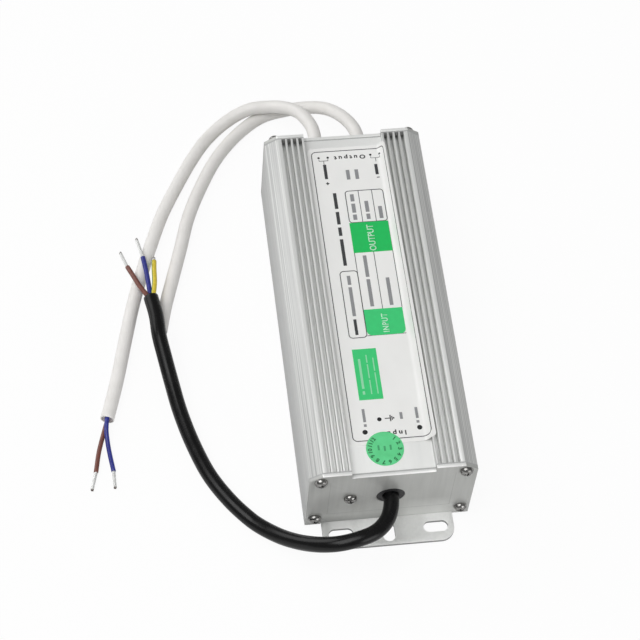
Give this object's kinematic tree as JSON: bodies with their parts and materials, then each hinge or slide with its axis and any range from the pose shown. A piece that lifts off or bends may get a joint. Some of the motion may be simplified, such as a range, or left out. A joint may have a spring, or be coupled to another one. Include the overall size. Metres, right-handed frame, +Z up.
{
  "type": "waterproof power adapter",
  "caption": "Finned aluminium case on a slotted mounting plate, closed by gasketed end covers, with a mains lead in at one end and low-voltage leads out at the other.",
  "frame": {"origin": "the middle of the underside of the case and its mounting plate, on the surface that it stands on", "axes": "+X across the case to the right, seen from the input end, +Y along the case from the input end to the output end, +Z up from the mounting plate to the label"},
  "size_m": [0.1584, 0.2408, 0.0437],
  "materials": {
    "case_aluminium": "satin extruded and anodised",
    "plate_aluminium": "satin sheet",
    "cover_aluminium": "satin sheet",
    "gasket_rubber": "matte",
    "screw_steel": "zinc plated",
    "tinned_brass": "tinned",
    "grommet_rubber": "satin",
    "label_paper": "coated, printed",
    "sticker_paper": "coated, printed",
    "black_sheath": "satin",
    "white_sheath": "satin",
    "brown_insulation": "satin",
    "blue_insulation": "satin",
    "earth_insulation": "satin, green stripe",
    "tinned_copper": "tinned strands",
    "insulating_paper": "matte",
    "board_laminate": "solder mask",
    "casting_compound": "matte",
    "fuse_ceramic": "satin",
    "disc_blue": "lacquered",
    "capacitor_yellow": "moulded",
    "ferrite": "matte",
    "enamelled_copper": "enamelled",
    "chip_plastic": "moulded",
    "can_sleeve": "shrunk sleeve",
    "winding_tape": "polyester tape"
  },
  "bodies": {
    "root": {"case": "case_aluminium", "base_plate": "plate_aluminium", "front_end_plate": "cover_aluminium", "rear_end_plate": "cover_aluminium", "front_gasket": "gasket_rubber", "rear_gasket": "gasket_rubber", "front_screws": "screw_steel", "rear_screws": "screw_steel", "earth_screw": "screw_steel", "earth_lug": "tinned_brass", "earth_nut": "screw_steel", "input_grommet": "grommet_rubber", "output_grommet_left": "grommet_rubber", "output_grommet_right": "grommet_rubber", "label": "label_paper", "date_sticker": "sticker_paper", "input_lead": "black_sheath", "input_brown_core": "brown_insulation", "input_blue_core": "blue_insulation", "input_earth_core": "earth_insulation", "input_strands": "tinned_copper", "output_lead_left": "white_sheath", "output_left_brown_core": "brown_insulation", "output_left_blue_core": "blue_insulation", "output_left_strands": "tinned_copper", "output_lead_right": "white_sheath", "output_right_brown_core": "brown_insulation", "output_right_blue_core": "blue_insulation", "output_right_strands": "tinned_copper", "input_inner_wires": "brown_insulation", "output_inner_wires": "blue_insulation", "insulation_sheet": "insulating_paper", "circuit_board": "board_laminate", "potting": "casting_compound", "fuse": "fuse_ceramic", "varistor": "disc_blue", "x_capacitor": "capacitor_yellow", "y_capacitor": "disc_blue", "line_choke_core": "ferrite", "line_choke_coils": "enamelled_copper", "bridge_rectifier": "chip_plastic", "bulk_capacitors": "can_sleeve", "control_chip": "chip_plastic", "switching_transistor": "chip_plastic", "transformer_core": "ferrite", "transformer_bobbin": "chip_plastic", "transformer_winding": "winding_tape", "output_rectifier": "chip_plastic", "heat_spreaders": "plate_aluminium", "output_choke_core": "ferrite", "output_choke_coil": "enamelled_copper", "output_capacitors": "can_sleeve"}
  },
  "joints": []
}
